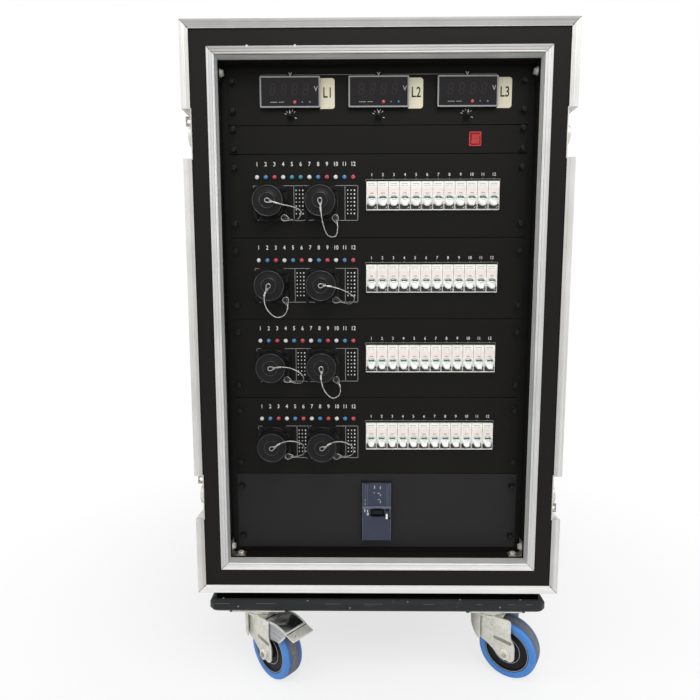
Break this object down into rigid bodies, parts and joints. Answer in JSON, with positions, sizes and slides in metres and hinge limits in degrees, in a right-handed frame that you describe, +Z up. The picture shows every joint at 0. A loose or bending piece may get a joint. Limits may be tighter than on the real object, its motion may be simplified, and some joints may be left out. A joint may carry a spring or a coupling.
{
  "type": "power distribution box",
  "caption": "Flight-cased power distribution rack with voltmeters, capped outlets, breaker rows, a main breaker and swivel casters with brakes.",
  "frame": {"origin": "middle of the footprint on the floor under the wheels", "axes": "+Z up; the front with the panels faces -Y; +X is to the right of someone who faces the front"},
  "size_m": [0.606, 0.682, 1.08],
  "materials": {
    "laminate": "black laminate on plywood, satin",
    "aluminium": "satin extrusion",
    "rack_steel": "black powder coat",
    "board": "black paint with scuffs",
    "panel_steel": "black textured powder coat",
    "meter_plastic": "grey bezel, dark window",
    "black_plastic": "satin",
    "white_plastic": "satin",
    "red_plastic": "gloss",
    "navy_plastic": "satin",
    "steel_wire": "twisted steel wire",
    "zinc_steel": "zinc plated, satin",
    "tyre": "blue elastic rubber on a black hub"
  },
  "bodies": {
    "cabinet": {"case_shell": "laminate", "edge_angles": "aluminium", "opening_frame": "aluminium", "rack_frame": "rack_steel", "wheel_board": "board", "meter_panel": "panel_steel", "switch_panel": "panel_steel", "outlet_panel_1": "panel_steel", "outlet_panel_2": "panel_steel", "outlet_panel_3": "panel_steel", "outlet_panel_4": "panel_steel", "main_panel": "panel_steel", "voltmeter_1": "meter_plastic", "voltmeter_2": "meter_plastic", "voltmeter_3": "meter_plastic", "main_breaker": "navy_plastic", "outlet_1_breakers": "white_plastic", "outlet_2_breakers": "white_plastic", "outlet_3_breakers": "white_plastic", "outlet_4_breakers": "white_plastic", "outlet_1_left_lanyard": "steel_wire", "outlet_1_right_lanyard": "steel_wire", "outlet_2_left_lanyard": "steel_wire", "outlet_2_right_lanyard": "steel_wire", "outlet_3_left_lanyard": "steel_wire", "outlet_3_right_lanyard": "steel_wire", "outlet_4_left_lanyard": "steel_wire", "outlet_4_right_lanyard": "steel_wire"},
    "front_left_fork": {"front_left_fork": "zinc_steel"},
    "front_left_wheel": {"front_left_wheel": "tyre"},
    "front_left_brake_pedal": {"front_left_brake_pedal": "zinc_steel"},
    "front_right_fork": {"front_right_fork": "zinc_steel"},
    "front_right_wheel": {"front_right_wheel": "tyre"},
    "rear_right_fork": {"rear_right_fork": "zinc_steel"},
    "rear_right_wheel": {"rear_right_wheel": "tyre"},
    "rear_right_brake_pedal": {"rear_right_brake_pedal": "zinc_steel"},
    "rear_left_fork": {"rear_left_fork": "zinc_steel"},
    "rear_left_wheel": {"rear_left_wheel": "tyre"},
    "selector_knob_1": {"selector_knob_1": "black_plastic"},
    "selector_knob_2": {"selector_knob_2": "black_plastic"},
    "selector_knob_3": {"selector_knob_3": "black_plastic"},
    "power_rocker": {"power_rocker": "red_plastic"},
    "outlet_1_levers": {"outlet_1_levers": "white_plastic"},
    "outlet_1_left_cap": {"outlet_1_left_cap": "black_plastic"},
    "outlet_1_right_cap": {"outlet_1_right_cap": "black_plastic"},
    "outlet_2_levers": {"outlet_2_levers": "white_plastic"},
    "outlet_2_left_cap": {"outlet_2_left_cap": "black_plastic"},
    "outlet_2_right_cap": {"outlet_2_right_cap": "black_plastic"},
    "outlet_3_levers": {"outlet_3_levers": "white_plastic"},
    "outlet_3_left_cap": {"outlet_3_left_cap": "black_plastic"},
    "outlet_3_right_cap": {"outlet_3_right_cap": "black_plastic"},
    "outlet_4_levers": {"outlet_4_levers": "white_plastic"},
    "outlet_4_left_cap": {"outlet_4_left_cap": "black_plastic"},
    "outlet_4_right_cap": {"outlet_4_right_cap": "black_plastic"},
    "main_breaker_lever": {"main_breaker_lever": "black_plastic"},
    "trip_button": {"trip_button": "white_plastic"},
    "left_top_catch": {"left_top_catch": "zinc_steel"},
    "left_bottom_catch": {"left_bottom_catch": "zinc_steel"},
    "right_top_catch": {"right_top_catch": "zinc_steel"},
    "right_bottom_catch": {"right_bottom_catch": "zinc_steel"}
  },
  "joints": [
    {"name": "front_left_swivel", "type": "hinge", "parent": "cabinet", "child": "front_left_fork", "pos_m": [-0.203, -0.25, 0.12], "axis": [0, 0, 1], "continuous": true},
    {"name": "front_left_spin", "type": "hinge", "parent": "front_left_fork", "child": "front_left_wheel", "pos_m": [-0.17521, -0.27592, 0.05], "axis": [0.682, 0.7314, 0], "continuous": true},
    {"name": "front_left_brake", "type": "hinge", "parent": "front_left_fork", "child": "front_left_brake_pedal", "pos_m": [-0.17375, -0.27728, 0.0975], "axis": [0.682, 0.7314, 0], "range_deg": [0, 12]},
    {"name": "front_right_swivel", "type": "hinge", "parent": "cabinet", "child": "front_right_fork", "pos_m": [0.203, -0.25, 0.12], "axis": [0, 0, 1], "continuous": true},
    {"name": "front_right_spin", "type": "hinge", "parent": "front_right_fork", "child": "front_right_wheel", "pos_m": [0.23487, -0.2707, 0.05], "axis": [0.5446, 0.8387, 0], "continuous": true},
    {"name": "rear_right_swivel", "type": "hinge", "parent": "cabinet", "child": "rear_right_fork", "pos_m": [0.203, 0.25, 0.12], "axis": [0, 0, 1], "continuous": true},
    {"name": "rear_right_spin", "type": "hinge", "parent": "rear_right_fork", "child": "rear_right_wheel", "pos_m": [0.17521, 0.27592, 0.05], "axis": [-0.682, -0.7314, 0], "continuous": true},
    {"name": "rear_right_brake", "type": "hinge", "parent": "rear_right_fork", "child": "rear_right_brake_pedal", "pos_m": [0.17375, 0.27728, 0.0975], "axis": [-0.682, -0.7314, 0], "range_deg": [0, 12]},
    {"name": "rear_left_swivel", "type": "hinge", "parent": "cabinet", "child": "rear_left_fork", "pos_m": [-0.203, 0.25, 0.12], "axis": [0, 0, 1], "continuous": true},
    {"name": "rear_left_spin", "type": "hinge", "parent": "rear_left_fork", "child": "rear_left_wheel", "pos_m": [-0.23487, 0.2707, 0.05], "axis": [-0.5446, -0.8387, 0], "continuous": true},
    {"name": "selector_1_turn", "type": "hinge", "parent": "cabinet", "child": "selector_knob_1", "pos_m": [-0.14, -0.26, 0.95135], "axis": [0, 1, 0], "range_deg": [-60, 60]},
    {"name": "selector_2_turn", "type": "hinge", "parent": "cabinet", "child": "selector_knob_2", "pos_m": [0.001, -0.26, 0.95135], "axis": [0, 1, 0], "range_deg": [-60, 60]},
    {"name": "selector_3_turn", "type": "hinge", "parent": "cabinet", "child": "selector_knob_3", "pos_m": [0.142, -0.26, 0.95135], "axis": [0, 1, 0], "range_deg": [-60, 60]},
    {"name": "power_rocker_tilt", "type": "hinge", "parent": "cabinet", "child": "power_rocker", "pos_m": [0.1565, -0.259, 0.91448], "axis": [1, 0, 0], "range_deg": [0, 16]},
    {"name": "outlet_1_levers_turn", "type": "hinge", "parent": "cabinet", "child": "outlet_1_levers", "pos_m": [0.0894, -0.26, 0.81758], "axis": [-1, 0, 0], "range_deg": [0, 70]},
    {"name": "outlet_1_left_cap_turn", "type": "hinge", "parent": "cabinet", "child": "outlet_1_left_cap", "pos_m": [-0.175, -0.26, 0.81358], "axis": [0, -1, 0], "range_deg": [0, 360]},
    {"name": "outlet_1_right_cap_turn", "type": "hinge", "parent": "cabinet", "child": "outlet_1_right_cap", "pos_m": [-0.092, -0.26, 0.81358], "axis": [0, -1, 0], "range_deg": [0, 360]},
    {"name": "outlet_2_levers_turn", "type": "hinge", "parent": "cabinet", "child": "outlet_2_levers", "pos_m": [0.0894, -0.26, 0.68422], "axis": [-1, 0, 0], "range_deg": [0, 70]},
    {"name": "outlet_2_left_cap_turn", "type": "hinge", "parent": "cabinet", "child": "outlet_2_left_cap", "pos_m": [-0.175, -0.26, 0.68022], "axis": [0, -1, 0], "range_deg": [0, 360]},
    {"name": "outlet_2_right_cap_turn", "type": "hinge", "parent": "cabinet", "child": "outlet_2_right_cap", "pos_m": [-0.092, -0.26, 0.68022], "axis": [0, -1, 0], "range_deg": [0, 360]},
    {"name": "outlet_3_levers_turn", "type": "hinge", "parent": "cabinet", "child": "outlet_3_levers", "pos_m": [0.0894, -0.26, 0.55088], "axis": [-1, 0, 0], "range_deg": [0, 70]},
    {"name": "outlet_3_left_cap_turn", "type": "hinge", "parent": "cabinet", "child": "outlet_3_left_cap", "pos_m": [-0.175, -0.26, 0.54688], "axis": [0, -1, 0], "range_deg": [0, 360]},
    {"name": "outlet_3_right_cap_turn", "type": "hinge", "parent": "cabinet", "child": "outlet_3_right_cap", "pos_m": [-0.092, -0.26, 0.54688], "axis": [0, -1, 0], "range_deg": [0, 360]},
    {"name": "outlet_4_levers_turn", "type": "hinge", "parent": "cabinet", "child": "outlet_4_levers", "pos_m": [0.0894, -0.26, 0.41752], "axis": [-1, 0, 0], "range_deg": [0, 70]},
    {"name": "outlet_4_left_cap_turn", "type": "hinge", "parent": "cabinet", "child": "outlet_4_left_cap", "pos_m": [-0.175, -0.26, 0.41352], "axis": [0, -1, 0], "range_deg": [0, 360]},
    {"name": "outlet_4_right_cap_turn", "type": "hinge", "parent": "cabinet", "child": "outlet_4_right_cap", "pos_m": [-0.092, -0.26, 0.41352], "axis": [0, -1, 0], "range_deg": [0, 360]},
    {"name": "main_breaker_throw", "type": "hinge", "parent": "cabinet", "child": "main_breaker_lever", "pos_m": [0.0013, -0.256, 0.29118], "axis": [1, 0, 0], "range_deg": [0, 22]},
    {"name": "trip_press", "type": "slide", "parent": "cabinet", "child": "trip_button", "axis": [0, 1, 0], "range_m": [0, 0.0015], "stiffness_N_per_m": 400},
    {"name": "left_top_catch_turn", "type": "hinge", "parent": "cabinet", "child": "left_top_catch", "pos_m": [-0.29, -0.28, 0.913], "axis": [-1, 0, 0], "range_deg": [0, 180]},
    {"name": "left_bottom_catch_turn", "type": "hinge", "parent": "cabinet", "child": "left_bottom_catch", "pos_m": [-0.29, -0.28, 0.331], "axis": [-1, 0, 0], "range_deg": [0, 180]},
    {"name": "right_top_catch_turn", "type": "hinge", "parent": "cabinet", "child": "right_top_catch", "pos_m": [0.29, -0.28, 0.913], "axis": [-1, 0, 0], "range_deg": [-90, 90]},
    {"name": "right_bottom_catch_turn", "type": "hinge", "parent": "cabinet", "child": "right_bottom_catch", "pos_m": [0.29, -0.28, 0.331], "axis": [1, 0, 0], "range_deg": [0, 180]}
  ]
}
